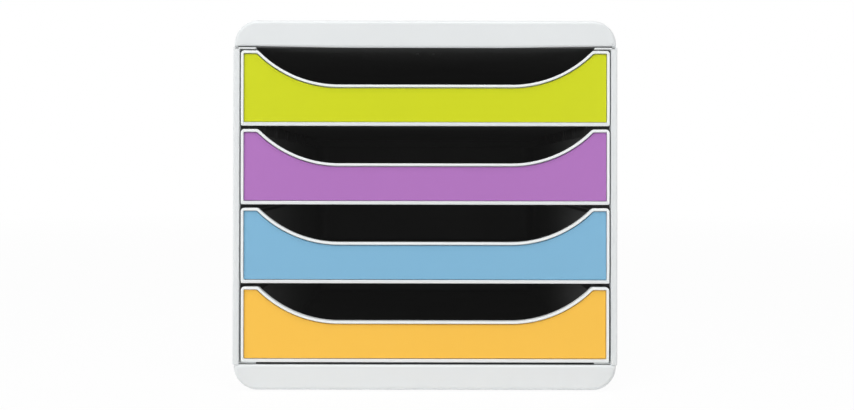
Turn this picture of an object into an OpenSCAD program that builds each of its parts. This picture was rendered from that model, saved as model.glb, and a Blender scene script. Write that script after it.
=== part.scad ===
// Desktop drawer tower: a moulded case with four sliding drawers.
// The front faces -Y, +Z is up, and the origin is under the middle of the feet.
// Drawers are counted from the top.

/* [Case] */
// Width over the two side panels
case_w = 278; // [230:1:340]
// Depth from the front face to the back
case_d = 347; // [280:1:420]
// Height that one drawer takes up
bay_h = 57; // [47:1:80]
// Wall of the side panels, the covers and the back
wall = 2.2; // [1.8:0.1:3]
// Width of a side panel's front edge, seen from the front
edge_band = 4.7; // [3.6:0.1:7]
// How far a side panel's front edge runs back at its full width
edge_depth = 6; // [4:0.5:7]
// Width of the turned-in rear edge of a side panel
rear_return = 7; // [5:0.5:12]
// Rounding of a side panel's outer upright edges
edge_round = 1.2; // [0.5:0.1:2]

/* [Top and base covers] */
// Height of the top cover
cover_h = 19.8; // [15:0.2:26]
// Height of the base cover
base_h = 18.4; // [15:0.2:26]
// Radius of a cover's rounded long corners
cover_r = 17.2; // [9:0.1:18]
// How far a cover's sides stand in from the side panels
cover_set = 0.65; // [0.2:0.05:1.5]
// Rounding where a cover's faces meet its front and back
cover_edge = 3; // [1:0.2:3.6]
// Rounding of the covers' front and rear edges at their open side
rim_round = 1.8; // [0.5:0.1:2]
// Thickness of the ribs inside a cover
cover_rib = 1.6; // [1:0.1:2.4]
// Number of ribs across a cover
cross_ribs = 5; // [3:1:7]
// Thickness of the dark deck that closes each cover
deck_t = 1.5; // [1:0.1:2.5]

/* [Flanges and clips] */
// Width of a side panel's flanges, from its outer face
flange_w = 16.4; // [14:0.2:26]
// Thickness of the flanges
flange_t = 1.2; // [1:0.1:2]
// Height of the shadow groove between a flange's front and a cover
seam_h = 0.3; // [0.1:0.1:0.8]
// Depth of that groove behind the front
seam_depth = 4; // [2:0.5:8]
// Width of a snap clip, along the case
clip_w = 12; // [8:0.5:20]
// Thickness of a clip's tongue
clip_t = 1.6; // [1.2:0.1:2.2]
// How far a clip's hook catches beyond its tongue
clip_hook = 1; // [0.6:0.1:1.4]

/* [Drawer fronts] */
// Gap between one front and the next
front_gap = 2.6; // [1.2:0.1:4]
// Gap between a front and a side panel's edge
side_gap = 0.8; // [0.6:0.1:2]
// Gap between the lowest front and the flange under it
lift_gap = 0.5; // [0.3:0.1:1.5]
// Gap between the highest front and the flange over it
head_gap = 1; // [0.3:0.1:2]
// How far the fronts stand behind the case's front edge
front_set = 0.4; // [0:0.1:2]
// Depth of the pale front frame
frame_depth = 5; // [4:0.2:8]
// Rounding of a front frame's upper outer corners
frame_corner = 2.5; // [1:0.1:4]
// Pale rim above the coloured panel, on the ears
rim_top = 2.7; // [1.5:0.1:4]
// Pale rim beside the coloured panel
rim_side = 1.9; // [1.2:0.1:4]
// Pale rim under the coloured panel
rim_bottom = 2.4; // [1.5:0.1:4]
// Pale rim along the finger scoop
rim_scoop = 2.1; // [1.2:0.1:4]
// Thickness of the coloured panel
panel_t = 2; // [1.2:0.1:2.6]
// How far the coloured panel lies behind the rim
panel_recess = 1; // [0.4:0.1:1.6]
// Gap beside the coloured panel
panel_gap = 0.3; // [0.1:0.05:0.5]
// Gap over the coloured panel
panel_gap_top = 0.5; // [0.1:0.05:0.8]
// Gap under the coloured panel
panel_gap_bottom = 0.15; // [0.1:0.05:0.5]
// Radius of the stakes on a coloured panel's back
stake_r = 1.6; // [1:0.1:2.2]

/* [Finger scoop] */
// Depth of the scoop below the ears
scoop_depth = 24.7; // [15:0.1:28]
// Radius of the scoop's two curved ends
scoop_r = 81.7; // [40:0.1:100]
// Width of the ear left on each side
ear_w = 12.3; // [9:0.1:18]
// Rounding of the ear where the scoop starts
ear_round = 2.5; // [1:0.1:4]

/* [Trays] */
// Wall of a tray
tray_wall = 1.6; // [1.2:0.1:2.4]
// Floor of a tray
tray_floor = 1.6; // [1.2:0.1:2.6]
// Inside radius of a tray's rear corners
tray_corner = 12; // [8:0.5:18]
// Inside radius of a tray's front corners
tray_corner_front = 6; // [6:0.5:10]
// Rounding between a tray's floor and its walls
tray_fillet = 3.5; // [2:0.1:4]
// How much a tray's walls lean out over their height
tray_draft = 1.2; // [0.5:0.1:1.5]
// Drop from a front's ears to a tray's rim
rim_drop = 3.8; // [3.5:0.1:6]
// Height of a tray's underside above the bottom of its front
tray_lift = 1.2; // [0.6:0.1:2.5]
// Room behind a closed tray
rear_gap = 5.4; // [3:0.2:10]
// Depth of a tray's lip at the rear
rear_lip = 3; // [2:0.2:5]

/* [Runners] */
// Thickness of a runner frame's upright sheet
runner_t = 1.8; // [1.4:0.1:2.6]
// Width of a tray's rail, beside its wall
rail_w = 9.8; // [8:0.2:11]
// Thickness of a tray's rail
rail_t = 1.8; // [1.4:0.1:2.4]
// Thickness of the ledge under a rail
ledge_t = 1.8; // [1.4:0.1:2.4]
// Thickness of the guide over a rail
guide_t = 1.5; // [1.2:0.1:1.8]
// Running clearance of the rails
run_gap = 0.3; // [0.15:0.05:0.35]
// Gap between a tray's wall and the ledge's edge
ledge_gap = 1.4; // [1:0.1:3]
// Length of a tray that stays in the case when it is drawn out
hold_in = 80; // [60:1:120]
// Length of a stop block and of a stop tab
stop_len = 6; // [4:0.5:10]
// Number of upright ribs on a runner frame
runner_ribs = 6; // [4:1:9]

/* [Feet] */
// Radius of a foot
foot_r = 9; // [6:0.5:12]
// Thickness of a foot
foot_t = 2.4; // [2:0.1:3.2]
// How far a foot stands out of the base
foot_out = 0.9; // [0.6:0.1:1.5]
// Distance of a foot's centre from the side of the base
foot_side = 30; // [24:1:50]
// Distance of a foot's centre from the front or the back
foot_end = 28; // [20:1:60]

/* [Hidden] */

$fn = 96;
drawers = 4;
cut = 1;
panel_colours = ["#d0d820", "#b173bc", "#82b6d3", "#f8c353"];
shell_colour = "#e5e8e7";
frame_colour = "#eef1f1";
inner_colour = "#1b1c1c";
rubber_colour = "#3a3b3b";

// heights
base_top = foot_out + base_h;
first_z = base_top + flange_t + lift_gap;
side_top = first_z + drawers * bay_h - front_gap + head_gap + flange_t;
side_h = side_top - base_top;
front_h = bay_h - front_gap;
rim_z = front_h - rim_drop;
function bay_z(i) = first_z + (drawers - i) * bay_h;

// lines from the front to the back
y_front = -case_d / 2;
y_back = case_d / 2;
frame_y = y_front + front_set;
tray_y = frame_y + frame_depth;
runner_y = tray_y + tray_wall + run_gap;
back_y = y_back - 2 * wall;
tray_end = back_y - rear_gap;

// lines across the case
cover_w = case_w - 2 * cover_set;
web_x = case_w / 2 - wall;
band_x = case_w / 2 - edge_band;
runner_x = web_x - runner_t;
front_w = 2 * (band_x - side_gap);
stop_reach = 3;
tab_reach = 2.4;
rail_x = runner_x - stop_reach - run_gap;
tray_x = rail_x - rail_w;
ledge_x = tray_x + ledge_gap;

// how far a tray's front wall keeps inside the outline of its front frame
tray_set = 0.6;

// finger scoop
scoop_top_x = front_w / 2 - ear_w;
scoop_run = sqrt(pow(scoop_r, 2) - pow(scoop_r - scoop_depth, 2));
scoop_flat_x = scoop_top_x - scoop_run;
// overlap of the ear's rounding with the scoop's arc, so that the two cross cleanly
arc_lap = 0.002;

// runners
ledge_z = rim_z - rail_t - run_gap;
guide_z = rim_z + run_gap;
guide_reach = 8;
rib_reach = 7;
rib_foot = 2;
lead_in = 3;
lead_slope = 2;
stop_y = runner_y + 2;
stop_ramp = stop_len / 2;
travel = tray_end - runner_y - hold_in;
tab_y = stop_y + stop_len + travel + run_gap;

// roundings of a cover of height h, kept within its height and its wall
function cover_round(h) = min(cover_r, h - wall / 2);
rim_cut = min(rim_round, wall - 0.3);

// clips that hold the covers
clip_x = case_w / 2 - flange_w / 2;
clip_gap = 0.2;
clip_drop = flange_t + clip_gap;
hook_h = 1.6;
clip_rows = [-0.32, 0, 0.32];

// corners of a coloured panel, nearly square
panel_corner = 0.5;

// stakes on the back of a coloured panel
stake_z = rim_bottom + 9;
stake_rows = [-0.4, -0.14, 0.14, 0.4];
stake_gap = 0.1;
head_r = stake_r + 1;
head_h = 0.8;
// flat pads inside the tray's front wall, for the heads of the stakes
pad_r = head_r + 1;
pad_h = 0.3;
seat_y = tray_y + tray_wall + tray_draft + pad_h;

// ---- outlines and tools ----

// end view of a cover: square at its rim, round along its two long outer corners
module cover_outline(w, h, r) {
    intersection() {
        translate([-w / 2, 0]) square([w, h]);
        union() {
            translate([-w / 2, 0]) square([w, h - r]);
            translate([-w / 2 + r, 0]) square([w - 2 * r, h]);
            for (s = [-1, 1])
                translate([s * (w / 2 - r), h - r]) circle(r);
        }
    }
}

// what a rounded edge takes off a square one, with the edge at the origin
module edge_section(r) {
    difference() {
        translate([-r, -cut]) square(r + cut);
        translate([-r, r]) circle(r);
    }
}

// follows one half of a cover's rear edge and rounds it
module cover_edge_cut(h) {
    r = cover_round(h);
    translate([cover_w / 2 - r, y_back, h - r])
        rotate([90, 0, 0])
            rotate_extrude(angle = 90)
                translate([r, 0]) edge_section(cover_edge);
    translate([-cut, y_back, h])
        rotate([180, -90, 0])
            linear_extrude(cover_w / 2 - r + cut) edge_section(cover_edge);
    translate([cover_w / 2, y_back, h - r])
        rotate([180, 0, 0])
            linear_extrude(h - r + cut) edge_section(cover_edge);
}

// rounds a cover's rear edge at its open side
module rim_edge_cut() {
    translate([-cover_w / 2 - cut, y_back, 0])
        rotate([90, 0, 90])
            linear_extrude(cover_w + 2 * cut) edge_section(rim_cut);
}

// a solid that runs along the case, from one outline
module along_case(y0, y1) {
    translate([0, y1, 0])
        rotate([90, 0, 0])
            linear_extrude(y1 - y0) children();
}

// the shape taken out of the top of a front, grown by grow, with the ears' top at z = 0
module scoop_outline(grow) {
    r = scoop_r + grow;
    centre_z = scoop_r - scoop_depth;
    x_flat = scoop_flat_x;
    translate([-x_flat, centre_z - r]) square([2 * x_flat, r]);
    intersection() {
        translate([-front_w / 2, centre_z - r]) square([front_w, r]);
        for (s = [-1, 1])
            translate([s * x_flat, centre_z]) circle(r, $fn = 192);
    }
}

// rounds the corner where the scoop meets an ear whose top is at z = top
module ear_round_outline(grow, top, r) {
    ring = scoop_r + grow;
    centre_z = scoop_r - scoop_depth;
    drop = centre_z - top;
    x_corner = sqrt(pow(ring, 2) - pow(drop, 2));
    reach = ring + r - arc_lap;
    x_round = sqrt(pow(reach, 2) - pow(drop + r, 2));
    share = (ring - cut) / reach;
    for (s = [-1, 1])
        translate([s * scoop_flat_x, 0])
            scale([s, 1])
                difference() {
                    polygon([
                        [x_round, top - r],
                        [x_round, top + cut],
                        [x_corner - cut, top + cut],
                        [x_corner - cut, top],
                        [x_round * share, centre_z - (drop + r) * share]
                    ]);
                    translate([x_round, top - r]) circle(r);
                }
}

// a front seen from the front, with its lower edge at z = 0 and inset by these rims
module front_outline(side, bottom, top, scoop, corner) {
    w = front_w - 2 * side;
    h = front_h - bottom - top;
    difference() {
        translate([-w / 2, bottom]) {
            square([w, h - corner]);
            translate([corner, 0]) square([w - 2 * corner, h]);
            for (x = [corner, w - corner])
                translate([x, h - corner]) circle(corner);
        }
        translate([0, front_h]) {
            scoop_outline(scoop);
            ear_round_outline(scoop, -top, ear_round);
        }
    }
}

// the four stakes, or the holes for them, as rods along Y
module stakes(y0, y1, r) {
    for (k = stake_rows)
        translate([k * front_w, y0, stake_z])
            rotate([-90, 0, 0])
                cylinder(r = r, h = y1 - y0, $fn = 48);
}

// one upright corner of a tray: a leaning wall that turns into the floor
module tray_post(r, h, lean, fillet) {
    steps = 5;
    rotate_extrude($fn = 32)
        polygon(concat(
            [[0, 0]],
            [for (k = [0:steps])
                let (a = 90 * k / steps)
                [r - lean - fillet + fillet * sin(a), fillet * (1 - cos(a))]],
            [[r, h], [0, h]]
        ));
}

// the outer or inner form of a tray, round in its corners and narrower at its floor
module tray_form(x, y0, y1, z0, z1, r_front, r_rear, lean) {
    h = z1 - z0;
    hull() {
        for (s = [-1, 1]) {
            translate([s * (x - r_front), y0 + r_front, z0])
                tray_post(r_front, h, lean, tray_fillet);
            translate([s * (x - r_rear), y1 - r_rear, z0])
                tray_post(r_rear, h, lean, tray_fillet);
        }
    }
}

// a flat plate between two lines along the case, round at its two rear corners
module rear_round_plate(x, y0, y1, r) {
    translate([-x, y0]) square([2 * x, y1 - y0 - r]);
    translate([-x + r, y0]) square([2 * (x - r), y1 - y0]);
    for (s = [-1, 1])
        translate([s * (x - r), y1 - r]) circle(r);
}

// ---- case ----

// a cover of height h with its open rim at z = 0 and its outer face up
module cover_shell(h) {
    inner_r = cover_round(h) - wall;
    difference() {
        along_case(y_front, y_back) cover_outline(cover_w, h, cover_round(h));
        for (end = [0, 1])
            mirror([0, end, 0]) {
                for (side = [0, 1])
                    mirror([side, 0, 0]) cover_edge_cut(h);
                rim_edge_cut();
            }
        translate([0, 0, -cut])
            along_case(y_front + wall, y_back - wall)
                cover_outline(cover_w - 2 * wall, h - wall + cut, inner_r);
    }
    cover_ribs(h, inner_r);
    for (side = [0, 1])
        mirror([side, 0, 0])
            for (k = clip_rows)
                translate([clip_x, k * case_d, 0]) clip(h);
}

// the grid that stiffens a cover and bears on its deck
module cover_ribs(h, inner_r) {
    inner_d = case_d - 2 * wall;
    intersection() {
        along_case(y_front + wall / 2, y_back - wall / 2)
            cover_outline(cover_w - wall, h - wall / 2, inner_r + wall / 2);
        translate([0, 0, deck_t]) {
            for (k = [1:cross_ribs])
                translate([-cover_w / 2, y_front + wall + k * inner_d / (cross_ribs + 1) - cover_rib / 2, 0])
                    cube([cover_w, cover_rib, h]);
            for (x = [-cover_w / 4, 0, cover_w / 4])
                translate([x - cover_rib / 2, y_front, 0])
                    cube([cover_rib, case_d, h]);
        }
    }
}

// a tongue that goes down through the deck and a flange, with a hook at its end
module clip(h) {
    tip = -clip_drop - hook_h;
    ramp = 0.7 * hook_h;
    translate([0, clip_w / 2, 0])
        rotate([90, 0, 0])
            linear_extrude(clip_w)
                polygon([
                    [-clip_t / 2, h - wall],
                    [-clip_t / 2, tip],
                    [clip_t / 2, tip],
                    [clip_t / 2 + clip_hook, tip + ramp],
                    [clip_t / 2 + clip_hook, -clip_drop],
                    [clip_t / 2, -clip_drop],
                    [clip_t / 2, h - wall]
                ]);
}

// the slots that the clips go through, with room for them to bend inwards
module clip_slots(z0, z1) {
    slot_in = clip_t / 2 + clip_hook + clip_gap;
    slot_out = clip_t / 2 + clip_gap;
    for (side = [0, 1])
        mirror([side, 0, 0])
            for (k = clip_rows)
                translate([clip_x - slot_in, k * case_d - clip_w / 2 - clip_gap, z0])
                    cube([slot_in + slot_out, clip_w + 2 * clip_gap, z1 - z0]);
}

module top_cover() {
    color(shell_colour)
        translate([0, 0, side_top]) cover_shell(cover_h);
}

module base_cover() {
    boss_r = foot_r + wall;
    socket = foot_t - foot_out;
    color(shell_colour)
        difference() {
            translate([0, 0, base_top]) mirror([0, 0, 1]) {
                cover_shell(base_h);
                at_feet()
                    translate([0, 0, base_h - wall - socket])
                        cylinder(r = boss_r, h = socket + wall / 2);
            }
            at_feet()
                translate([0, 0, foot_out - cut])
                    cylinder(r = foot_r + clip_gap, h = socket + cut);
        }
}

// the places of the four feet
module at_feet() {
    for (s = [-1, 1])
        for (t = [-1, 1])
            translate([s * (cover_w / 2 - foot_side), t * (case_d / 2 - foot_end), 0])
                children();
}

// the right-hand panel seen from above: a sheet with a thick front edge and a turned-in rear edge
module side_plan() {
    x = case_w / 2;
    difference() {
        translate([x - rear_return, y_front]) square([rear_return, case_d]);
        translate([x - rear_return - cut, y_front + edge_depth])
            square([rear_return - wall + cut, case_d - edge_depth - wall]);
        translate([x - rear_return - cut, y_front - cut])
            square([rear_return - edge_band + cut, edge_depth + 2 * cut]);
        for (end = [0, 1])
            mirror([0, end])
                translate([x, y_back]) scale([1, -1]) edge_section(edge_round);
    }
}

module side_panel() {
    flange_in = case_w / 2 - flange_w;
    difference() {
        translate([0, 0, base_top]) {
            linear_extrude(side_h) side_plan();
            for (z = [0, side_h - flange_t])
                translate([flange_in, y_front, z])
                    cube([flange_w - wall / 2, case_d - wall, flange_t]);
        }
        // shadow grooves at the front
        for (z = [base_top, side_top - seam_h])
            translate([flange_in - cut, y_front - cut, z])
                cube([flange_w + cut - wall, seam_depth + cut, seam_h]);
        clip_slots(base_top - cut, base_top + flange_t + cut);
        clip_slots(side_top - flange_t - cut, side_top + cut);
    }
}

module side_panel_right() {
    color(shell_colour) side_panel();
}

module side_panel_left() {
    color(shell_colour) mirror([1, 0, 0]) side_panel();
}

// end view of a shelf on the upright sheet, with a round nose at x
module shelf_outline(x, z, t) {
    translate([x + t / 2, z]) square([runner_x + runner_t / 2 - x - t / 2, t]);
    translate([x + t / 2, z + t / 2]) circle(t / 2, $fn = 32);
}

// end view of a runner frame: an upright sheet with a ledge and a guide for each drawer
module runner_outline(z0, z1) {
    translate([runner_x, z0]) square([runner_t, z1 - z0]);
    for (i = [1:drawers])
        translate([0, bay_z(i)]) {
            shelf_outline(ledge_x, ledge_z - ledge_t, ledge_t);
            shelf_outline(runner_x - guide_reach, guide_z, guide_t);
        }
}

// cuts back the front corner of a shelf whose nose is at x, so that a tray finds its way in
module lead_cut(x, z, t) {
    translate([x, runner_y, z - cut])
        linear_extrude(t + 2 * cut)
            polygon([
                [-cut, -cut],
                [lead_in + cut / lead_slope, -cut],
                [-cut, (lead_in + cut) * lead_slope]
            ]);
}

// keeps a tray in the case: a ramp that the tray's tab slips over, and a square face behind it
module runner_stop() {
    translate([runner_x, stop_y, ledge_z - ledge_t])
        linear_extrude(guide_z + guide_t - ledge_z + ledge_t)
            polygon([
                [runner_t / 2, 0],
                [0, 0],
                [-stop_reach, stop_ramp],
                [-stop_reach, stop_len],
                [runner_t / 2, stop_len]
            ]);
}

module runner_frame() {
    difference() {
        union() {
            along_case(runner_y, back_y)
                runner_outline(base_top + flange_t, side_top - flange_t);
            for (i = [1:drawers])
                translate([0, 0, bay_z(i)]) {
                    runner_stop();
                    runner_rib_row(i);
                }
        }
        for (i = [1:drawers])
            translate([0, 0, bay_z(i)]) {
                lead_cut(ledge_x, ledge_z - ledge_t, ledge_t);
                lead_cut(runner_x - guide_reach, guide_z, guide_t);
            }
    }
}

// tapered ribs that brace one ledge from below, down to the guide of the next drawer
module runner_rib_row(i) {
    foot_z = i == drawers ? clip_drop + hook_h : guide_z + guide_t / 2 - bay_h;
    head_z = ledge_z - ledge_t / 2;
    pitch = (back_y - runner_y) / runner_ribs;
    for (k = [0:runner_ribs - 1])
        translate([runner_x, runner_y + (k + 0.5) * pitch, 0])
            along_case(0, runner_t)
                polygon([
                    [runner_t / 2, foot_z],
                    [-rib_foot, foot_z],
                    [-rib_reach, head_z],
                    [runner_t / 2, head_z]
                ]);
}

module runner_frame_right() {
    color(inner_colour) runner_frame();
}

module runner_frame_left() {
    color(inner_colour) mirror([1, 0, 0]) runner_frame();
}

// a flat dark sheet inside a cover's rim
module deck(z) {
    x = cover_w / 2 - wall - clip_gap;
    y = y_front + wall + clip_gap;
    difference() {
        translate([-x, y, z]) cube([2 * x, -2 * y, deck_t]);
        clip_slots(z - cut, z + deck_t + cut);
    }
}

module top_deck() {
    gate_r = 1;
    gate_drop = 0.3;
    gate_y = y_front + 34;
    color(inner_colour) {
        deck(side_top);
        // two small gate marks under the front edge
        for (x = [-6, 6])
            translate([x, gate_y, side_top - gate_drop])
                cylinder(r = gate_r, h = gate_drop + deck_t / 2, $fn = 24);
    }
}

module bottom_deck() {
    color(inner_colour) deck(base_top - deck_t);
}

// closes the case between the side panels' rear edges
module back_panel() {
    x = web_x - clip_gap;
    x_mid = case_w / 2 - flange_w - clip_gap;
    z0 = base_top + flange_t;
    h = side_h - 2 * flange_t;
    border = 22;
    bead = 0.8;
    color(inner_colour)
        difference() {
            union() {
                translate([-x, back_y, z0]) cube([2 * x, wall, h]);
                translate([-x_mid, back_y, base_top]) cube([2 * x_mid, wall, side_h]);
            }
            // shallow field that keeps the sheet flat
            translate([0, y_back - wall + cut, base_top + side_h / 2])
                rotate([90, 0, 0])
                    linear_extrude(cut + bead)
                        rounded_field(2 * x - 2 * border, h - 2 * border, border / 2);
        }
}

// a rectangle about the origin with round corners
module rounded_field(w, h, r) {
    square([w - 2 * r, h], center = true);
    square([w, h - 2 * r], center = true);
    for (s = [-1, 1])
        for (t = [-1, 1])
            translate([s * (w / 2 - r), t * (h / 2 - r)]) circle(r);
}

module foot(s, t) {
    bevel = 0.5;
    color(rubber_colour)
        translate([s * (cover_w / 2 - foot_side), t * (case_d / 2 - foot_end), 0]) {
            cylinder(r1 = foot_r - bevel, r2 = foot_r, h = bevel);
            translate([0, 0, bevel]) cylinder(r = foot_r, h = foot_t - bevel);
        }
}

// ---- drawers ----

// what runs out beside a tray: rails, a lip across the rear and the two stop tabs
module tray_rails() {
    translate([0, 0, rim_z - rail_t])
        linear_extrude(rail_t) {
            rear_round_plate(rail_x, tray_y, tray_end + rear_lip, rear_lip);
            for (s = [-1, 1])
                scale([s, 1])
                    translate([rail_x, tab_y])
                        polygon([
                            [-cut, 0],
                            [tab_reach, 0],
                            [tab_reach, stop_ramp],
                            [0, stop_len],
                            [-cut, stop_len]
                        ]);
        }
}

module tray(i) {
    z0 = tray_lift;
    outer_front = tray_corner_front + tray_wall;
    outer_rear = tray_corner + tray_wall;
    color(inner_colour)
        translate([0, 0, bay_z(i)])
            difference() {
                union() {
                    difference() {
                        union() {
                            tray_form(tray_x, tray_y, tray_end, z0, rim_z, outer_front, outer_rear, tray_draft);
                            tray_rails();
                            // front wall that carries the front frame
                            along_case(tray_y, tray_y + tray_wall)
                                intersection() {
                                    front_outline(rim_side, z0, tray_set, tray_set, frame_corner);
                                    translate([-rail_x, 0]) square([2 * rail_x, front_h]);
                                }
                        }
                        tray_form(
                            tray_x - tray_wall, tray_y + tray_wall, tray_end - tray_wall,
                            z0 + tray_floor, front_h + cut,
                            tray_corner_front, tray_corner, tray_draft
                        );
                        translate([0, 0, front_h])
                            along_case(tray_y - cut, tray_y + tray_wall + cut)
                                scoop_outline(tray_set);
                    }
                    stakes(tray_y + tray_wall / 2, seat_y, pad_r);
                }
                stakes(tray_y - cut, seat_y + cut, stake_r + stake_gap);
            }
}

// the pale frame round a coloured panel, with a web behind the panel
module front_frame(i) {
    pocket = panel_recess + panel_t;
    color(frame_colour)
        translate([0, 0, bay_z(i)])
            difference() {
                along_case(frame_y, tray_y)
                    front_outline(0, 0, 0, 0, frame_corner);
                along_case(frame_y - cut, frame_y + pocket)
                    front_outline(rim_side, rim_bottom, rim_top, rim_scoop, panel_corner);
                stakes(frame_y, tray_y + cut, stake_r + stake_gap);
            }
}

// the coloured sheet, with the stakes that go through the frame and the tray, and their heads
module colour_panel(i) {
    face_y = frame_y + panel_recess;
    color(panel_colours[i - 1])
        translate([0, 0, bay_z(i)]) {
            along_case(face_y, face_y + panel_t)
                front_outline(
                    rim_side + panel_gap, rim_bottom + panel_gap_bottom,
                    rim_top + panel_gap_top, rim_scoop + panel_gap_top, panel_corner
                );
            stakes(face_y + panel_t / 2, seat_y + head_h / 2, stake_r);
            stakes(seat_y, seat_y + head_h, head_r);
        }
}

top_cover();
base_cover();
side_panel_left();
side_panel_right();
runner_frame_left();
runner_frame_right();
top_deck();
bottom_deck();
back_panel();
tray(1);  // tray_1
tray(2);  // tray_2
tray(3);  // tray_3
tray(4);  // tray_4
front_frame(1);  // front_frame_1
front_frame(2);  // front_frame_2
front_frame(3);  // front_frame_3
front_frame(4);  // front_frame_4
colour_panel(1);  // colour_panel_1
colour_panel(2);  // colour_panel_2
colour_panel(3);  // colour_panel_3
colour_panel(4);  // colour_panel_4
foot(-1, -1);  // foot_front_left
foot(1, -1);  // foot_front_right
foot(-1, 1);  // foot_rear_left
foot(1, 1);  // foot_rear_right
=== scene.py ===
import math

import bpy
import numpy as np
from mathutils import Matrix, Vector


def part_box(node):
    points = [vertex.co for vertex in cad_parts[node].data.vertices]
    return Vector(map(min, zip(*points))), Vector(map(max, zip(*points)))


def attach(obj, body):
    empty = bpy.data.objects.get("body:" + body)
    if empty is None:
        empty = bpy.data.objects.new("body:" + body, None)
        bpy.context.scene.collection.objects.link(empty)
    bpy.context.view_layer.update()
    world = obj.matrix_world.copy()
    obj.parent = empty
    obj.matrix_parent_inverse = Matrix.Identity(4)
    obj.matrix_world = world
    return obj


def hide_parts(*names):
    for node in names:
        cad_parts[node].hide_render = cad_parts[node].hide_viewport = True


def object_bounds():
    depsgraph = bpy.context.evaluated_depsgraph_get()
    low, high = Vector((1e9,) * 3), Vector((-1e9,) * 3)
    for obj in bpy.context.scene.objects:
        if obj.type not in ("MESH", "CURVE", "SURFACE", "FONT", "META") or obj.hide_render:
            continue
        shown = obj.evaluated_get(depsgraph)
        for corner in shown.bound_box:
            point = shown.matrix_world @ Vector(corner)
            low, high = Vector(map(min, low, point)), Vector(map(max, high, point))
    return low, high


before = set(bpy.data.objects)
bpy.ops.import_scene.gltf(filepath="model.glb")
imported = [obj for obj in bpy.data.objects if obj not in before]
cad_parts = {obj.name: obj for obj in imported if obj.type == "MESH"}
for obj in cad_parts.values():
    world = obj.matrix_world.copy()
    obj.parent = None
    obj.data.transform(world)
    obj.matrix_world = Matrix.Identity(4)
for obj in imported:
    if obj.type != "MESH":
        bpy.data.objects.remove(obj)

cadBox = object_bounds()
mm = 0.001
drawerCount = 4


# small tools

def hexToLinear(code):
    # an sRGB hex colour as linear red, green, blue and alpha
    parts = [int(code[i:i + 2], 16) / 255 for i in (1, 3, 5)]
    return [c / 12.92 if c <= 0.04045 else ((c + 0.055) / 1.055) ** 2.4 for c in parts] + [1.0]


def nodeBox(name):
    # lowest and highest corner of a CAD node, in millimetres
    lo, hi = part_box(name)
    return np.array(lo) / mm, np.array(hi) / mm


def gridFaces(rows, cols, closed=False):
    # quads between neighbouring rows and columns; closed also joins the last column to the first
    row, col = np.meshgrid(np.arange(rows - 1), np.arange(cols if closed else cols - 1), indexing="ij")
    after = (col + 1) % cols
    quads = [row * cols + col, row * cols + after, (row + 1) * cols + after, (row + 1) * cols + col]
    return np.stack(quads, -1).reshape(-1, 4).tolist()


def meshVolume(points, faces):
    # signed volume: each face is a fan of triangles, and each triangle makes a tetrahedron with the origin
    tris = np.array([(f[0], f[i], f[i + 1]) for f in faces for i in range(1, len(f) - 1)])
    a, b, c = points[tris[:, 0]], points[tris[:, 1]], points[tris[:, 2]]
    return float(np.einsum("ij,ij->i", a, np.cross(b, c)).sum() / 6)


def addPiece(name, points, faces, material, body, nodes=()):
    # makes one closed piece from points in millimetres, with its faces turned outwards
    points = np.asarray(points, float).reshape(-1, 3)
    if meshVolume(points, faces) < 0:
        faces = [list(reversed(f)) for f in faces]
    mesh = bpy.data.meshes.new(name)
    mesh.from_pydata(points * mm, [], faces)
    mesh.shade_smooth()
    mesh.set_sharp_from_angle(angle=math.radians(35))
    mesh.materials.append(material)
    piece = bpy.data.objects.new(name, mesh)
    bpy.context.scene.collection.objects.link(piece)
    normals = piece.modifiers.new("evenNormals", "WEIGHTED_NORMAL")
    normals.keep_sharp = True
    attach(piece, body)
    if nodes:
        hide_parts(*nodes)
    return piece


def arc(cx, cy, r, start, stop, count):
    # points on a circle about (cx, cy) between two angles in degrees, both ends included
    a = np.radians(np.linspace(start, stop, count))
    return np.stack([cx + r * np.cos(a), cy + r * np.sin(a)], -1)


def line(a, b, count):
    # points from a towards b, without b
    t = np.linspace(0, 1, count, endpoint=False)[:, None]
    return np.array(a, float) * (1 - t) + np.array(b, float) * t


def ringLoft(rings):
    # rings of equal length joined in order, and closed by a flat face at each end
    rings = np.asarray(rings)
    count, size = rings.shape[:2]
    faces = gridFaces(count, size, closed=True)
    faces.append(list(range(size)))
    faces.append([(count - 1) * size + i for i in range(size)])
    return rings.reshape(-1, 3), faces


def offsetLoop(loop, inset):
    # a closed counter-clockwise loop moved inwards, each point along the mean normal of its two sides
    ahead = np.roll(loop, -1, 0) - loop
    behind = loop - np.roll(loop, 1, 0)
    ahead /= np.linalg.norm(ahead, axis=1)[:, None]
    behind /= np.linalg.norm(behind, axis=1)[:, None]
    mean = ahead + behind
    mean /= np.linalg.norm(mean, axis=1)[:, None]
    inward = np.stack([-mean[:, 1], mean[:, 0]], -1)
    stretch = 1 / np.clip((ahead * mean).sum(1), 0.5, 1)
    return loop + inward * (inset * stretch)[:, None]


def roundedLoop(corners, radii, steps=5):
    # a polygon with an arc at each corner, turned the way the corner turns
    corners = np.array(corners, float)
    out = []
    for i, r in enumerate(radii):
        p, a, b = corners[i], corners[i - 1], corners[(i + 1) % len(corners)]
        u = (a - p) / np.linalg.norm(a - p)
        v = (b - p) / np.linalg.norm(b - p)
        half = math.acos(np.clip(u @ v, -1, 1)) / 2
        reach = r / math.tan(half)
        centre = p + (u + v) / np.linalg.norm(u + v) * r / math.sin(half)
        first, last = p + u * reach - centre, p + v * reach - centre
        a0 = math.atan2(first[1], first[0])
        turn = (math.atan2(last[1], last[0]) - a0 + math.pi) % (2 * math.pi) - math.pi
        angles = a0 + turn * np.linspace(0, 1, steps)
        out.append(centre + r * np.stack([np.cos(angles), np.sin(angles)], -1))
    return np.concatenate(out)


def edgeRows(radius, steps=4):
    # how far a rounded edge stands in from the face (first) and back from the end (second), end to face
    a = np.linspace(0, math.pi / 2, steps)
    return [(radius * (1 - math.sin(t)), radius * (1 - math.cos(t))) for t in a]


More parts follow.
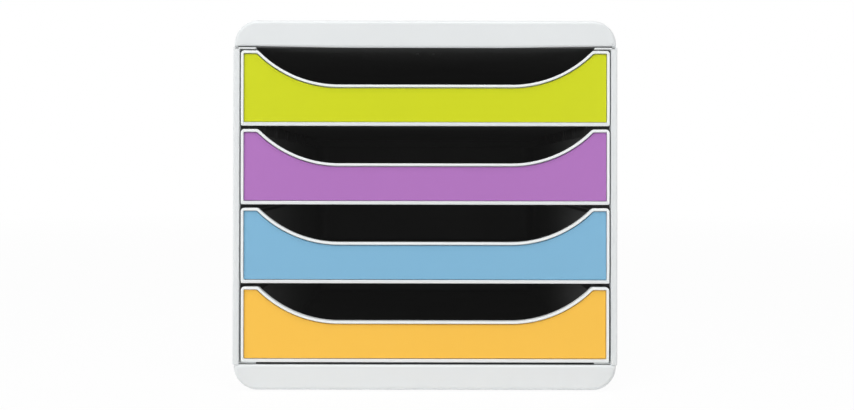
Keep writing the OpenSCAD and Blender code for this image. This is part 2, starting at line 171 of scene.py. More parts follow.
def roundedBar(x0, x1, y0, y1, z0, z1, r):
    # a bar along Y with all its edges rounded: a round-cornered section carried from end to end, and drawn in by a
    # quarter round at both ends (a hair less than r, so that the corner arcs keep some length)
    loop = roundedLoop([(x0, z0), (x1, z0), (x1, z1), (x0, z1)], [r] * 4, 4)
    rows = [(inset, y0 + back) for inset, back in edgeRows(r, 3)]
    rows += [(inset, y1 - back) for inset, back in reversed(edgeRows(r, 3))]
    rings = []
    for inset, y in rows:
        ring = offsetLoop(loop, min(inset, r * 0.98))
        rings.append(np.stack([ring[:, 0], np.full(len(ring), y), ring[:, 1]], -1))
    return ringLoft(rings)


def roundedPrism(corners, radii, z0, z1, edge, steps=4, levels=2):
    # a plan with rounded corners carried up from z0 to z1, and drawn in by a quarter round at both ends
    loop = roundedLoop(corners, radii, steps)
    rows = [(inset, z0 + back) for inset, back in edgeRows(edge, 3)]
    rows += [(0, z) for z in np.linspace(z0 + edge, z1 - edge, levels)[1:-1]]
    rows += [(inset, z1 - back) for inset, back in reversed(edgeRows(edge, 3))]
    rings = [np.column_stack([offsetLoop(loop, inset), np.full(len(loop), z)]) for inset, z in rows]
    return ringLoft(rings)


def button(x, z, y0, y1, radius, edge, sides=32):
    # a round pad that stands out along +Y: circles from its root to its rounded face
    a = np.linspace(0, 2 * math.pi, sides, endpoint=False)
    rows = [(radius, y0)] + [(radius - inset, y1 - back) for inset, back in reversed(edgeRows(edge, 5))]
    return ringLoft([np.stack([x + r * np.cos(a), np.full(sides, y), z + r * np.sin(a)], -1) for r, y in rows])


# camera and light

view = {
    "imageWidth": 854,
    "imageHeight": 410,
    "sensorWidth": 36,
    "pixelsPerMm": 1.3845,     # on the front face, from the tower's width
    "distance": 605.0,         # from the lens to the front face: fitted to the photograph, not known
    "eyeHeight": 160.0,        # height of the line where the drawers' depth converges
    "centreX": 425.2,          # picture column of the tower's middle
    "horizonRow": 170.0,       # picture row of that line
    "pitch": 0.4,              # degrees up: the tower is a little wider at its foot in the photograph
    "roll": 0.1,               # degrees: the photograph's horizontals lean 0.2 clockwise, its uprights don't
}

frontY = np.array(cadBox[0])[1] / mm
cameraData = bpy.data.cameras.new("camera")
cameraData.sensor_width = view["sensorWidth"]
cameraData.lens = view["pixelsPerMm"] * view["distance"] * cameraData.sensor_width / view["imageWidth"]
cameraData.shift_x = (view["imageWidth"] / 2 - view["centreX"]) / view["imageWidth"]
pitch = math.radians(view["pitch"])
cameraData.shift_y = ((view["horizonRow"] - view["imageHeight"] / 2) / view["imageWidth"]
                      - math.tan(pitch) * cameraData.lens / cameraData.sensor_width)
cameraData.clip_start = 0.01
camera = bpy.data.objects.new("camera", cameraData)
bpy.context.scene.collection.objects.link(camera)
camera.location = (0, (frontY - view["distance"]) * mm, view["eyeHeight"] * mm)
camera.rotation_euler = (math.radians(90) + pitch, 0, 0)
camera.rotation_euler.rotate_axis("Z", math.radians(view["roll"]))
bpy.context.scene.camera = camera
bpy.context.scene.view_settings.view_transform = "Standard"
print("camera set, lens", round(cameraData.lens, 2))

light = {
    "worldStrength": 0.2,
    # lamp: power in watts, width, height, place, aim (metres)
    "top": (21.0, 1.4, 0.8, (0.0, -0.75, 1.7), (0.0, -0.17, 0.14)),
    "left": (15.0, 0.9, 0.4, (-1.5, -1.05, 0.12), (0.0, -0.17, 0.14)),
    "right": (3.6, 0.6, 0.4, (0.95, -0.95, 0.12), (0.0, -0.17, 0.14)),
}
lampNames = ("top", "left", "right")
table = {
    "colour": "#f2f2f2",
    "reach": 6.0,              # metres, from the middle to each side
    "whiteNear": 0.96,         # share of plain white as the camera sees the table; the rest carries the shadow
    "shadowWithin": 0.4,       # metres from the tower's middle
    "allWhiteFrom": 2.5,       # so far out there is no trace of a horizon
}


def addNode(tree, kind, links=None, **settings):
    # adds one node, sets its values and links its inputs; a setting named with a capital is an input socket
    node = tree.nodes.new(kind)
    for key, value in settings.items():
        if key[0].isupper() or key.startswith("in"):
            socket = node.inputs[int(key[2:])] if key.startswith("in") else node.inputs[key.replace("_", " ")]
            socket.default_value = value
        else:
            setattr(node, key, value)
    for key, source in (links or {}).items():
        tree.links.new(source, node.inputs[key])
    return node


def lookThrough(tree):
    # 1 where the camera looks straight at, through or by reflection at a background surface
    path = addNode(tree, "ShaderNodeLightPath")
    straight = addNode(tree, "ShaderNodeMath", {0: path.outputs["Is Camera Ray"], 1: path.outputs["Is Glossy Ray"]},
                       operation="MAXIMUM")
    both = addNode(tree, "ShaderNodeMath", {0: straight.outputs[0], 1: path.outputs["Is Transmission Ray"]},
                   operation="MAXIMUM")
    return both.outputs[0]


def makeWorld():
    # white to the camera, and a weak even light to everything else
    world = bpy.data.worlds.new("studio")
    world.use_nodes = True
    tree = world.node_tree
    tree.nodes.clear()
    soft = addNode(tree, "ShaderNodeBackground", Color=(1, 1, 1, 1), Strength=light["worldStrength"])
    seen = addNode(tree, "ShaderNodeBackground", Color=(1, 1, 1, 1), Strength=1.0)
    mix = addNode(tree, "ShaderNodeMixShader", {0: lookThrough(tree), 1: soft.outputs[0], 2: seen.outputs[0]})
    addNode(tree, "ShaderNodeOutputWorld", {"Surface": mix.outputs[0]})
    bpy.context.scene.world = world


def makeLamp(name):
    # a large soft panel, as over and beside a product table
    power, width, height, place, aim = light[name]
    lamp = bpy.data.lights.new(name, "AREA")
    lamp.shape = "RECTANGLE"
    lamp.size = width
    lamp.size_y = height
    lamp.energy = power
    panel = bpy.data.objects.new(name, lamp)
    bpy.context.scene.collection.objects.link(panel)
    panel.location = place
    away = np.array(place) - np.array(aim)
    away /= np.linalg.norm(away)
    panel.rotation_euler = (math.acos(away[2]), 0, math.atan2(away[1], away[0]) + math.pi / 2)


def makeFloor():
    # white table top: mostly seen as plain white, with the tower's soft shadow left in it near the tower
    material = bpy.data.materials.new("whiteTable")
    material.use_nodes = True
    tree = material.node_tree
    tree.nodes.clear()
    seen = lookThrough(tree)
    place = addNode(tree, "ShaderNodeTexCoord").outputs["Object"]
    distance = addNode(tree, "ShaderNodeVectorMath", {0: place}, operation="LENGTH")
    white = addNode(tree, "ShaderNodeMapRange", {0: distance.outputs["Value"]}, in1=table["shadowWithin"],
                    in2=table["allWhiteFrom"], in3=table["whiteNear"], in4=1.0)
    share = addNode(tree, "ShaderNodeMath", {0: seen, 1: white.outputs[0]}, operation="MULTIPLY")
    plain = addNode(tree, "ShaderNodeBsdfDiffuse", Color=hexToLinear(table["colour"]))
    glow = addNode(tree, "ShaderNodeEmission", Color=(1, 1, 1, 1), Strength=1.0)
    mix = addNode(tree, "ShaderNodeMixShader", {0: share.outputs[0], 1: plain.outputs[0], 2: glow.outputs[0]})
    addNode(tree, "ShaderNodeOutputMaterial", {"Surface": mix.outputs[0]})
    corners = np.array([(-1, -1, 0), (1, -1, 0), (1, 1, 0), (-1, 1, 0)]) * table["reach"]
    mesh = bpy.data.meshes.new("tableTop")
    mesh.from_pydata(corners, [], [(0, 1, 2, 3)])
    mesh.materials.append(material)
    tableTop = bpy.data.objects.new("tableTop", mesh)
    bpy.context.scene.collection.objects.link(tableTop)


makeWorld()
for name in lampNames:
    makeLamp(name)
makeFloor()
print("light and table set")


# materials

def plasticMaterial(name, look):
    # moulded plastic: flat pigment with a faint cloudiness, a grain from the mould, and a gloss that wanders a little
    material = bpy.data.materials.new(name)
    material.use_nodes = True
    tree = material.node_tree
    tree.nodes.clear()
    place = addNode(tree, "ShaderNodeTexCoord").outputs["Object"]
    cloud = addNode(tree, "ShaderNodeTexNoise", {"Vector": place}, Scale=1 / (look["cloudMm"] * mm), Detail=2.0)
    tint = addNode(tree, "ShaderNodeMix", {0: cloud.outputs[0]}, data_type="RGBA",
                   in6=hexToLinear(look["colour"]), in7=hexToLinear(look["cloudColour"]))
    grain = addNode(tree, "ShaderNodeTexNoise", {"Vector": place}, Scale=1 / (look["grainMm"] * mm), Detail=3.0,
                    Roughness=0.6)
    bump = addNode(tree, "ShaderNodeBump", {"Height": grain.outputs[0]}, Strength=look["grainStrength"],
                   Distance=look["grainDepthMm"] * mm)
    wander = addNode(tree, "ShaderNodeMapRange", {0: cloud.outputs[0]}, in1=0.3, in2=0.7,
                     in3=look["roughness"] - look["glossWander"], in4=look["roughness"] + look["glossWander"])
    # the emission is painted light: where a look asks for it, a faint glow that stands in for light straying about the
    # deep bays
    shader = addNode(tree, "ShaderNodeBsdfPrincipled",
                     {"Base Color": tint.outputs[2], "Roughness": wander.outputs[0], "Normal": bump.outputs[0]},
                     IOR=look["ior"], Emission_Strength=look.get("strayLight", 0.0))
    addNode(tree, "ShaderNodeOutputMaterial", {"Surface": shader.outputs[0]})
    return material


# The plastics named here are taken from the look and from how such sets are usually made.
# The real grain of such surfaces is usually about 0.1 mm, too fine to show, so it is drawn 0.8 to 2.5 mm wide.

# polystyrene moulded in a spark-eroded tool: pale, matt, with a fine even grain
shellLook = {"colour": "#dfe2e3", "cloudColour": "#dcdfe0", "cloudMm": 60, "grainMm": 0.9, "grainDepthMm": 0.05,
             "grainStrength": 0.35, "roughness": 0.48, "glossWander": 0.03, "ior": 1.59}
# the same plastic from a finer tool: nearly white and satin
rimLook = {"colour": "#eef2f2", "cloudColour": "#eaeeee", "cloudMm": 40, "grainMm": 0.8, "grainDepthMm": 0.03,
           "grainStrength": 0.25, "roughness": 0.38, "glossWander": 0.03, "ior": 1.59}
# black polystyrene from a finely grained tool: satin, with a broad soft sheen. The colour is fitted to the shaded bays,
# the only place where the photograph shows it, so a tray in full light looks dark grey.
trayLook = {"colour": "#434444", "cloudColour": "#404141", "cloudMm": 50, "grainMm": 2.5, "grainDepthMm": 0.02,
            "grainStrength": 0.2, "roughness": 0.58, "glossWander": 0.03, "ior": 1.59,
            "strayLight": 0.005}      # painted light: a faint glow, fitted to how light the bays are in the photograph
# dyed polypropylene sheets: clear strong colour under a satin skin
panelBase = {"cloudMm": 50, "grainMm": 0.9, "grainDepthMm": 0.03, "grainStrength": 0.25, "roughness": 0.42,
             "glossWander": 0.03, "ior": 1.47}
panelLooks = [
    ("lime", dict(panelBase, colour="#cbd307", cloudColour="#c9d105")),
    ("purple", dict(panelBase, colour="#ad70ba", cloudColour="#ab6eb8")),
    ("blue", dict(panelBase, colour="#7db3d3", cloudColour="#7ab1d2")),
    ("orange", dict(panelBase, colour="#f6c046", cloudColour="#f5be43")),
]
# thermoplastic rubber: dull dark grey, with a coarse soft grain
footLook = {"colour": "#3a3b3b", "cloudColour": "#333434", "cloudMm": 6, "grainMm": 0.8, "grainDepthMm": 0.08,
            "grainStrength": 0.5, "roughness": 0.8, "glossWander": 0.05, "ior": 1.5}

shellPlastic = plasticMaterial("moulded matt polystyrene, pale grey", shellLook)
rimPlastic = plasticMaterial("moulded satin polystyrene, white", rimLook)
trayPlastic = plasticMaterial("moulded satin polystyrene, black, painted glow", trayLook)
panelPlastics = [plasticMaterial("moulded satin polypropylene, " + name, look) for name, look in panelLooks]
footRubber = plasticMaterial("moulded thermoplastic rubber, grey", footLook)
print("materials made")


# covers

cover = {
    "cornerRadius": 17.2,
    "edgeRadius": 3.0,         # where the long faces meet the front and the back
    "rimRadius": 1.8,          # front and rear edges at the open side
    "sideRimRadius": 0.4,      # side edges at the open side
    "wall": 2.2,
    "innerEdge": 0.8,          # inside of the shell: its long edges, and its edges at the open side
    "innerRim": 0.1,
    "grooveHeight": 1.1,       # the top cover's front stands this far off the side panels, as a dark groove
    "grooveStart": 60.0,       # the front's lower edge rises from here, sideways from the middle,
    "grooveFull": 122.0,       # to its full height here,
    "grooveTo": 138.0,         # and ends here
    "grooveFade": 3.0,         # height over which the lift dies away
    "weld": 0.01,              # points nearer than this become one
}


def coverSurface(halfWidth, height, radius, edge, y0, y1, rim, sideRim, groove):
    # Grid for one skin of a cover. Across it runs the end view: up one side, round, over the top, round and down.
    # Along it run the flat front, a quarter-round edge, the long faces, and the same again at the back. The front's
    # flat is ruled between the end view and the straight line under it. At the open side the front, the back and the
    # sides draw in by a quarter circle: r less the root of r squared less (r - z) squared. The groove lifts the
    # front's lower edge towards the sides, and the points over it by less and less.
    side = height - radius
    rise = [back for inset, back in edgeRows(sideRim, 5)]
    rightSide = np.stack([np.full(5, halfWidth), rise], -1)
    leftSide = rightSide * np.array([-1, 1])
    outline = np.concatenate([
        leftSide,
        arc(-halfWidth + radius, side, radius, 180, 90, 19)[:-1],
        line((-halfWidth + radius, height), (halfWidth - radius, height), 12),
        arc(halfWidth - radius, side, radius, 90, 0, 19),
        rightSide[::-1],
    ])
    centre = np.stack([np.clip(outline[:, 0], -halfWidth + radius, halfWidth - radius),
                       np.minimum(outline[:, 1], side)], -1)
    normal = (outline - centre) / radius
    steps = np.linalg.norm(np.diff(outline, axis=0), axis=1)
    share = np.concatenate([[0], np.cumsum(steps)]) / steps.sum()
    under = np.stack([(2 * share - 1) * (halfWidth - edge), np.zeros(len(share))], -1)
    inner = outline - normal * edge
    shares = [back / (height - edge) for inset, back in edgeRows(rim, 7)] + [0.3, 0.65]
    flat = [under + (inner - under) * v for v in shares]
    rounding = edgeRows(edge, 9)
    rows = [(y0, p) for p in flat]
    rows += [(y0 + back, outline - normal * inset) for inset, back in rounding]
    rows += [(y0 + edge + (y1 - y0 - 2 * edge) * v, outline) for v in np.linspace(0, 1, 12)[1:-1]]
    rows += [(y1 - back, outline - normal * inset) for inset, back in reversed(rounding)]
    rows += [(y1, p) for p in reversed(flat)]
    grid = np.stack([np.stack([p[:, 0], np.full(len(p), y), p[:, 1]], -1) for y, p in rows])

    def drawn(r):
        gap = np.clip(r - grid[:, :, 2], 0, r)
        return r - np.sqrt(r * r - gap * gap)

    grid[:, :, 1] = np.clip(grid[:, :, 1], y0 + drawn(rim), y1 - drawn(rim))
    reach = halfWidth - drawn(sideRim)
    grid[:, :, 0] = np.clip(grid[:, :, 0], -reach, reach)
    place = np.abs(grid[:, :, 0])
    start, full = cover["grooveStart"], cover["grooveFull"]
    fade = np.clip(1 - grid[:, :, 2] / cover["grooveFade"], 0, 1)
    inGroove = (place < cover["grooveTo"]) & (grid[:, :, 1] < y0 + rim + 0.01)
    lift = groove * np.clip((place - start) / (full - start), 0, 1) * fade
    grid[:, :, 2] += np.where(inGroove, lift, 0)
    return grid


def gridBorder(rows, cols):
    # indices round the border of a grid, in order
    first = [c for c in range(cols)]
    last = [(rows - 1) * cols + c for c in range(cols - 1, -1, -1)]
    right = [r * cols + cols - 1 for r in range(1, rows - 1)]
    left = [r * cols for r in range(rows - 2, 0, -1)]
    return first + right + last + left


def makeCover(name, node, rimZ, up):
    # two skins on the same grid, a wall apart, joined by a band of quads round the open side
    c = cover
    lo, hi = nodeBox(node)
    half, wall = hi[0], c["wall"]
    height = hi[2] - rimZ if up > 0 else rimZ - lo[2]
    groove = c["grooveHeight"] if up > 0 else 0
    outer = coverSurface(half, height, c["cornerRadius"], c["edgeRadius"], lo[1], hi[1], c["rimRadius"],
                         c["sideRimRadius"], groove)
    inner = coverSurface(half - wall, height - wall, c["cornerRadius"] - wall, c["innerEdge"], lo[1] + wall,
                         hi[1] - wall, c["innerRim"], c["innerRim"], groove)
    rows, cols = outer.shape[:2]
    skin = gridFaces(rows, cols)
    count = rows * cols
    border = gridBorder(rows, cols)
    faces = [list(f) for f in skin] + [[i + count for i in reversed(f)] for f in skin]
    faces += [[border[k], border[k - 1], border[k - 1] + count, border[k] + count] for k in range(len(border))]
    points = np.concatenate([outer.reshape(-1, 3), inner.reshape(-1, 3)])
    points[:, 2] = rimZ + up * points[:, 2]
    piece = addPiece(name, points, faces, shellPlastic, "case", [node])
    weld = piece.modifiers.new("joinEnds", "WELD")     # the flat's rows meet in one point at its ends
    weld.merge_threshold = c["weld"] * mm
    piece.modifiers.move(1, 0)


sideLo, sideHi = nodeBox("side_panel_right")
makeCover("topCoverShell", "top_cover", sideHi[2], 1)
makeCover("baseCoverShell", "base_cover", sideLo[2], -1)
print("covers made")


# side panels, back

sidePanel = {
    "sheet": 2.2,
    "frontBand": 4.55,
    "frontDepth": 6.0,
    "rearReturn": 7.0,
    "outerRound": 1.2,
    "innerRound": 0.5,
    "returnRound": 0.8,        # corners of the rear return
    "cornerRound": 0.5,        # inside corners
    "bandRound": 0.3,          # rear edge of the front band
    "flangeWidth": 16.4,       # at the front
    "flangeBehind": 12.0,      # behind its lip
    "flange": 1.2,
    "flangeRound": 0.25,
    "flangeSunk": 0.02,        # below the panel's end, so that no two faces share a plane
    "lipDepth": 4.0,
    "lipOverlap": 0.2,
    "baseLipSet": 3.4,         # the lower lip starts this far back, in the shade of the lowest drawer
    "endRound": 0.35,          # at the ends, under the covers
}


def mirrorX(points, side):
    # side 1 leaves the points on the right, and -1 mirrors them to the left
    return points * np.array([side, 1, 1])


def makeSidePanel(name, node, side):
    # the plan of the panel carried up its height, drawn in a little at both ends
    s = sidePanel
    x, y0, y1 = sideHi[0], sideLo[1], sideHi[1]
    inner = x - s["sheet"]
    corners = [(x - s["frontBand"], y0), (x, y0), (x, y1), (x - s["rearReturn"], y1),
               (x - s["rearReturn"], y1 - s["sheet"]), (inner, y1 - s["sheet"]),
               (inner, y0 + s["frontDepth"]), (x - s["frontBand"], y0 + s["frontDepth"])]
    radii = [s["innerRound"], s["outerRound"], s["outerRound"], s["returnRound"], s["returnRound"],
             s["cornerRound"], s["cornerRound"], s["bandRound"]]
    points, faces = roundedPrism(corners, radii, sideLo[2], sideHi[2], s["endRound"], 6, 8)
    addPiece(name, mirrorX(points, side), faces, shellPlastic, "case", [node])
    for label, z, up in (("Top", sideHi[2], 1), ("Base", sideLo[2], -1)):
        # flange: a wide lip at the front, narrower behind
        lipY = y0 if up > 0 else y0 + s["baseLipSet"]
        zones = [("Lip", s["flangeWidth"], lipY, y0 + s["lipDepth"] + s["lipOverlap"]),
                 ("Flange", s["flangeBehind"], y0 + s["lipDepth"], y1 - s["sheet"])]
        for part, width, ya, yb in zones:
            z0, z1 = sorted((z - up * s["flangeSunk"], z - up * s["flange"]))
            points, faces = roundedBar(x - width, inner + s["sheet"] * 0.3, ya, yb, z0, z1, s["flangeRound"])
            addPiece(name + label + part, mirrorX(points, side), faces, shellPlastic, "case", [node])


makeSidePanel("rightPanel", "side_panel_right", 1)
makeSidePanel("leftPanel", "side_panel_left", -1)

back = {
    "border": 22.0,            # from the edge to the field
    "bead": 0.8,               # how deep the field lies
    "beadSlope": 1.6,
    "beadRound": 0.4,          # the bead's upper and lower edge: this wide
    "beadDrop": 0.1,           # and this high
    "edge": 0.4,
    "outerCorner": 0.5,
    "cornerRadius": 11.0,
}


def makeBack():
    # a sheet whose rear face steps down into a shallow field: round-cornered rings from the rim to the field
    b = back
    lo, hi = nodeBox("back_panel")
    x, z0, z1 = hi[0], lo[2] + sidePanel["flange"], hi[2] - sidePanel["flange"]

    def ring(inset, radius, y):
        loop = roundedLoop([(-x + inset, z0 + inset), (x - inset, z0 + inset), (x - inset, z1 - inset),
                            (-x + inset, z1 - inset)], [radius] * 4, 7)
        return np.stack([loop[:, 0], np.full(len(loop), y), loop[:, 1]], -1)

    corner, edge, drop = b["outerCorner"], b["beadRound"], b["beadDrop"]
    border, radius, slope, floor = b["border"], b["cornerRadius"], b["beadSlope"], hi[1] - b["bead"]
    rows = [ring(0, corner, lo[1]), ring(0, corner, hi[1] - b["edge"]), ring(b["edge"], corner, hi[1]),
            ring(border - edge, radius + edge, hi[1]), ring(border, radius, hi[1] - drop),
            ring(border + slope, radius - slope, floor + drop),
            ring(border + slope + edge, radius - slope - edge, floor)]
    points, faces = ringLoft(rows)
    addPiece("backSheet", points, faces, trayPlastic, "case", ["back_panel"])


makeBack()
print("side panels and back made")


# drawer fronts

front = {
    "sideGap": (0.0, 0.1, 0.2, 0.45),       # how much narrower each front is than its CAD node, on either side
    "scoopDepth": 24.7,
    "scoopRadius": 81.7,
    "earWidth": 12.3,
    "earRound": 2.5,
    "upperCorner": 2.5,
    "lowerCorner": 0.8,
    "rimTop": 1.95,
    "rimSide": 1.9,
    "rimBottom": 2.4,
    "rimScoop": 1.75,
    "bottomLean": 0.8,         # how far the bottom rim leans back at its lower edge
    "outerEdge": 0.35,         # rounding of the rim's outer edge
    "innerEdge": 0.35,         # rounding of the rim's inner edge
    "panelSetback": 1.0,       # how far the coloured panel lies behind the rim
    "panelThickness": 1.95,
    "pocketDepth": 4.6,        # behind the gap round the panel
    "pocketCorner": 0.6,
    "backEdge": 0.3,           # edge of the frame's rear face
    "panelGap": 0.24,          # beside the panel
    "panelGapTop": 0.4,
    "panelGapScoop": 0.65,
    "panelGapBottom": 0.38,
    "panelEdge": 0.5,
    "panelCorner": 0.5,
}


def frontOutline(half, height, side, bottom, top, scoop, upper, lower, ear):
    # The front seen head-on, inset by a different width on each side. Right half from the middle of the bottom:
    # bottom, lower corner, side, upper corner, ear, ear rounding, the scoop's large arc and its flat; then mirrored.
    f = front
    x, z0, z1 = half - side, bottom, height - top
    centreZ = height - f["scoopDepth"] + f["scoopRadius"]
    run = math.sqrt(f["scoopRadius"] ** 2 - (f["scoopRadius"] - f["scoopDepth"]) ** 2)
    flatX = half - f["earWidth"] - run
    ring = f["scoopRadius"] + scoop
    drop = centreZ - z1
    earX = flatX + math.sqrt((ring + ear) ** 2 - (drop + ear) ** 2)
    tangent = math.degrees(math.atan2(drop + ear, flatX - earX))
    right = np.concatenate([
        line((0, z0), (x - lower, z0), 10),
        arc(x - lower, z0 + lower, lower, -90, 0, 6)[:-1],
        line((x, z0 + lower), (x, z1 - upper), 5),
        arc(x - upper, z1 - upper, upper, 0, 90, 9)[:-1],
        line((x - upper, z1), (earX, z1), 4),
        arc(earX, z1 - ear, ear, 90, tangent, 9)[:-1],
        arc(flatX, centreZ, ring, tangent - 180, -90, 33)[:-1],
        line((flatX, centreZ - ring), (0, centreZ - ring), 8),
        np.array([[0, centreZ - ring]]),
    ])
    left = right[::-1][1:-1] * np.array([-1, 1])
    return np.concatenate([right, left])


def frontRing(outline, y, z):
    # an outline stood upright at a place along Y and lifted by z
    return np.stack([outline[:, 0], np.full(len(outline), y), outline[:, 1] + z], -1)


def makeFrontFrame(i):
    # rim and web in one: outline rings from the back, round the outer edge, over the rim and down into the pocket
    f = front
    node = f"front_frame_{i}"
    lo, hi = nodeBox(node)
    half, height = hi[0] - f["sideGap"][i - 1], hi[2] - lo[2]

    def ring(share, extra, y, upper, lower, ear):
        # share 0 is the outer outline and 1 the pocket's; extra moves it further in by as many millimetres
        widths = [w * share + extra for w in (f["rimSide"], f["rimBottom"], f["rimTop"], f["rimScoop"])]
        points = frontRing(frontOutline(half, height, *widths, upper, lower, ear), y, lo[2])
        if y < lo[1] + f["panelSetback"]:
            points[:, 1] += f["bottomLean"] * np.clip(1 - (points[:, 2] - lo[2]) / f["rimBottom"], 0, 1)
        return points

    up, low, ear, edge, corner = f["upperCorner"], f["lowerCorner"], f["earRound"], f["backEdge"], f["pocketCorner"]
    rows = [ring(0, edge, hi[1], up - edge, low - edge, ear - edge), ring(0, 0, hi[1] - edge, up, low, ear)]
    for inset, setback in reversed(edgeRows(f["outerEdge"], 5)):
        rows.append(ring(0, inset, lo[1] + setback, up - inset, max(low - inset, 0.2), ear - inset))
    for inset, setback in edgeRows(f["innerEdge"], 4):
        rows.append(ring(1, -inset, lo[1] + setback, corner, corner, ear))
    rows.append(ring(1, 0, lo[1] + f["pocketDepth"], corner, corner, ear))
    points, faces = ringLoft(rows)
    addPiece(f"frontRim{i}", points, faces, rimPlastic, f"drawer_{i}", [node])


def makeColourPanel(i):
    # the coloured sheet: outline rings from the back, over a small rounded edge, to the face
    f = front
    node = f"colour_panel_{i}"
    lo, hi = nodeBox(f"front_frame_{i}")
    half, height = hi[0] - f["sideGap"][i - 1], hi[2] - lo[2]
    face = lo[1] + f["panelSetback"]

    def ring(extra, y):
        gaps = [f["panelGap"], f["panelGapBottom"], f["panelGapTop"], f["panelGapScoop"]]
        rims = [f["rimSide"], f["rimBottom"], f["rimTop"], f["rimScoop"]]
        widths = [rim + gap + extra for rim, gap in zip(rims, gaps)]
        corner = f["panelCorner"]
        return frontRing(frontOutline(half, height, *widths, corner, corner, f["earRound"]), y, lo[2])

    rows = [ring(0, face + f["panelThickness"])]
    rows += [ring(inset, face + setback) for inset, setback in reversed(edgeRows(f["panelEdge"], 4))]
    points, faces = ringLoft(rows)
    name = panelLooks[i - 1][0]
    addPiece(f"{name}Panel", points, faces, panelPlastics[i - 1], f"drawer_{i}", [node])


for i in range(1, drawerCount + 1):
    makeFrontFrame(i)
    makeColourPanel(i)
print("drawer fronts made")


# trays

tray = {
    "wall": 1.6,
    "floor": 1.6,
    "lift": 1.2,               # underside above the bottom of the front
    "rimDrop": 3.8,            # from the ears down to the tray's rim
    "cornerRear": 12.0,
    "cornerFront": 6.0,
    "fillet": 3.5,
    "draft": 1.2,
    "rail": 9.8,
    "railThickness": 1.8,
    "railEdge": 0.3,           # lower edge of the rails
    "railCornerFront": 1.0,
    "railCornerRear": 3.0,
    "lip": 3.0,
    "edge": 0.5,
    "frontSet": 0.6,           # the black front wall keeps this far inside the rim's outline
    "rimUnderScoop": 0.4,      # the basin's rim lies this far under that wall's edge
    "frontWall": 1.4,
    "frontWallEdge": 0.3,
    "frontWallUpper": 2.0,     # its upper and lower corners
    "frontWallLower": 0.8,
    "tabPlace": 92.0,          # front face of the stop tabs, along Y
    "tabLength": 6.0,
    "tabReach": 2.4,           # out of the rails
    "tabRoot": 0.8,            # into the rails
    "tabInner": 0.25,          # corners at the rail
    "tabOuter": 0.4,           # corners at the tip
    "tabEdge": 0.15,
    "tabSunk": 0.05,           # under the rail's top and over its underside
    "stakeRows": (-0.4, -0.14, 0.14, 0.4),     # along the front, as shares of its width
    "stakeHeight": 11.4,
    "headRadius": 2.6,         # head of a stake, inside the front wall
    "head": 0.8,
    "headDome": 0.9,           # share of the head's height that is rounded
    "padRadius": 3.6,          # flat pad under that head
    "pad": 0.3,
    "padEdge": 0.1,
}


def planRing(x, y0, y1, rf, rr, frontCount=73):
    # round-cornered rectangle seen from above, counter-clockwise from the left end of the front side, which has many
    # points because the scoop is drawn on it
    return np.concatenate([
        line((-x + rf, y0), (x - rf, y0), frontCount),
        arc(x - rf, y0 + rf, rf, -90, 0, 9)[:-1],
        line((x, y0 + rf), (x, y1 - rr), 6),
        arc(x - rr, y1 - rr, rr, 0, 90, 11)[:-1],
        line((x - rr, y1), (-x + rr, y1), 6),
        arc(-x + rr, y1 - rr, rr, 90, 180, 11)[:-1],
        line((-x, y1 - rr), (-x, y0 + rf), 6),
        arc(-x + rf, y0 + rf, rf, 180, 270, 9)[:-1],
    ])


def scoopHeight(x, half, height, inset):
    # height of the scoop's edge over a place x: flat in the middle, then a circle that rises to the ears
    f = front
    ring = f["scoopRadius"] + inset
    centreZ = height - f["scoopDepth"] + f["scoopRadius"]
    run = math.sqrt(f["scoopRadius"] ** 2 - (f["scoopRadius"] - f["scoopDepth"]) ** 2)
    beyond = np.clip(np.abs(x) - (half - f["earWidth"] - run), 0, ring)
    return centreZ - np.sqrt(ring ** 2 - beyond ** 2)


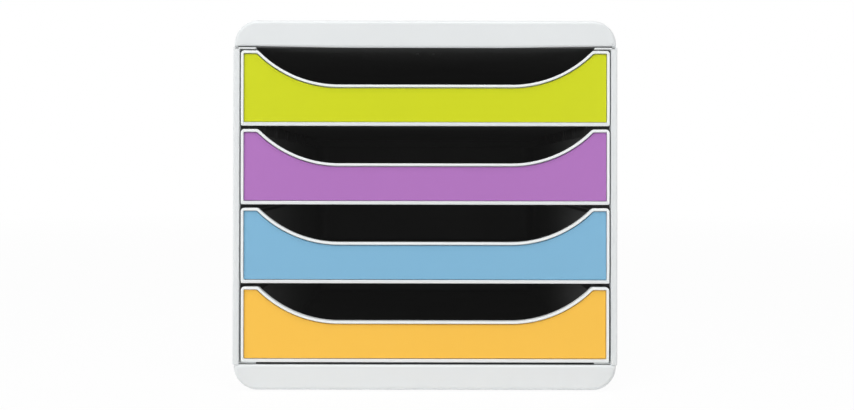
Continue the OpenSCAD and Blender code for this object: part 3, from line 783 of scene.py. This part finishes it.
def makeTray(i):
    # One closed skin of rings: floor, rounded corner, leaning wall, over the rim and out along the rails, back under
    # them, down the outside and across the underside. On the front side the rim follows the scoop.
    t, f = tray, front
    node = f"tray_{i}"
    lo, hi = nodeBox(node)
    frameLo, frameHi = nodeBox(f"front_frame_{i}")
    half, height = frameHi[0] - f["sideGap"][i - 1], frameHi[2] - frameLo[2]
    base = frameLo[2]
    railX = hi[0] - t["tabReach"]
    x = railX - t["rail"]
    y0, y1 = lo[1], hi[1] - t["lip"]
    rim = height - t["rimDrop"]
    wall, fillet, draft, edge = t["wall"], t["fillet"], t["draft"], t["edge"]
    bottom, floor = t["lift"], t["lift"] + t["floor"]
    innerTop = planRing(x - wall, y0 + wall, y1 - wall, t["cornerFront"], t["cornerRear"])
    isFront = innerTop[:, 1] < y0 + wall + t["cornerFront"] + 0.01
    scoopZ = scoopHeight(innerTop[:, 0], half, height, t["frontSet"]) - t["rimUnderScoop"]
    topZ = np.where(isFront, np.minimum(scoopZ, rim), rim)

    def basin(inset, z):
        ring = planRing(x - wall - inset, y0 + wall + inset, y1 - wall - inset,
                        t["cornerFront"] - inset, t["cornerRear"] - inset)
        return np.column_stack([ring, z])

    def outside(inset, z):
        ring = planRing(x - inset, y0 + t["frontWallEdge"] + inset * 0.5, y1 - inset,
                        t["cornerFront"] + wall - inset, t["cornerRear"] + wall - inset)
        return np.column_stack([ring, z])

    def rails(inset, z):
        ring = planRing(railX - inset, y0 + inset * 0.3, y1 + t["lip"] - inset,
                        t["railCornerFront"], t["railCornerRear"] - inset)
        return np.column_stack([ring, z])

    flat = np.ones(len(innerTop))
    rows = []
    for a in np.linspace(0, math.pi / 2, 6):
        rows.append(basin(draft + fillet * (1 - math.sin(a)), flat * (floor + fillet * (1 - math.cos(a)))))
    low = floor + fillet
    for v in (0.3, 0.65):
        rows.append(basin(draft * (1 - v), low + (topZ - edge - low) * v))
    for inset, drop in reversed(edgeRows(edge, 4)):
        rows.append(basin(-inset, topZ - drop))
    for inset, drop in edgeRows(edge, 4):
        rows.append(rails(inset, topZ - drop))
    under = topZ - t["railThickness"]
    rows.append(rails(0, under + t["railEdge"]))
    rows.append(rails(t["railEdge"], under))
    rows.append(outside(0, under))
    rows.append(outside(draft * 0.5, bottom + fillet + (under - bottom - fillet) * 0.5))
    for a in np.linspace(math.pi / 2, 0, 5):
        rows.append(outside(draft + fillet * (1 - math.sin(a)), flat * (bottom + fillet * (1 - math.cos(a)))))
    rings = np.stack(rows)
    rings[:, :, 2] += base
    points, faces = ringLoft(rings)
    body = f"drawer_{i}"
    addPiece(f"trayBasin{i}", points, faces, trayPlastic, body, [node])

    # front wall with its ears, behind the pale frame
    inset, depth, bevel = t["frontSet"], t["frontWall"], t["frontWallEdge"]
    rows = []
    for extra, y in ((bevel, y0), (0, y0 + bevel), (0, y0 + depth - bevel), (bevel, y0 + depth)):
        outline = frontOutline(half, height, f["rimSide"] + extra, bottom + extra, inset + extra, inset + extra,
                               t["frontWallUpper"], t["frontWallLower"], f["earRound"] - extra)
        rows.append(frontRing(outline, y, base))
    points, faces = ringLoft(rows)
    addPiece(f"trayFront{i}", points, faces, trayPlastic, body, [node])

    # stop tabs on the rails: square in front, with a ramp behind
    length, tabY = t["tabLength"], t["tabPlace"]
    root = railX - t["tabRoot"]
    corners = [(root, tabY), (hi[0], tabY), (hi[0], tabY + length / 2), (railX, tabY + length), (root, tabY + length)]
    radii = [t["tabInner"], t["tabOuter"], t["tabOuter"], t["tabInner"], t["tabInner"]]
    tabBottom, tabTop = base + rim - t["railThickness"] + t["tabSunk"], base + rim - t["tabSunk"]
    for label, side in (("Right", 1), ("Left", -1)):
        points, faces = roundedPrism(corners, radii, tabBottom, tabTop, t["tabEdge"])
        addPiece(f"stopTab{label}{i}", mirrorX(points, side), faces, trayPlastic, body, [node])

    # where the coloured panel's stakes come through: a flat pad and the stake's own rounded head
    seat = y0 + wall + draft + t["pad"]
    for k, share in enumerate(t["stakeRows"]):
        at = (share * 2 * half, base + t["stakeHeight"])
        points, faces = button(*at, y0 + wall / 2, seat, t["padRadius"], t["padEdge"])
        addPiece(f"stakePad{i}{k}", points, faces, trayPlastic, body, [node])
        points, faces = button(*at, y0 + wall / 2, seat + t["head"], t["headRadius"], t["head"] * t["headDome"])
        addPiece(f"stakeHead{i}{k}", points, faces, panelPlastics[i - 1], body, [f"colour_panel_{i}"])


for i in range(1, drawerCount + 1):
    makeTray(i)
print("trays made")


# feet

foot = {"edge": 0.5, "sides": 40}


def makeFoot(name, node):
    # a pad turned about its own axis: flat underside, small round edge, straight side
    lo, hi = nodeBox(node)
    centre, radius = (lo + hi) / 2, (hi[0] - lo[0]) / 2
    a = np.linspace(0, 2 * math.pi, foot["sides"], endpoint=False)
    profile = [(radius - inset, lo[2] + rise) for inset, rise in edgeRows(foot["edge"], 4)] + [(radius, hi[2])]
    rings = [np.stack([centre[0] + r * np.cos(a), centre[1] + r * np.sin(a), np.full(len(a), z)], -1)
             for r, z in profile]
    points, faces = ringLoft(rings)
    addPiece(name, points, faces, footRubber, "case", [node])


for place in ("front_left", "front_right", "rear_left", "rear_right"):
    end, side = place.split("_")
    makeFoot(end + side.capitalize() + "Foot", "foot_" + place)
print("feet made")


# pieces that keep their CAD shape

def finishNode(node, material):
    # a CAD node that is seen as it is, in one material
    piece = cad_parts[node]
    piece.data.materials.clear()
    piece.data.materials.append(material)


for node in ("runner_frame_left", "runner_frame_right", "top_deck", "bottom_deck"):
    finishNode(node, trayPlastic)

print("scene made")
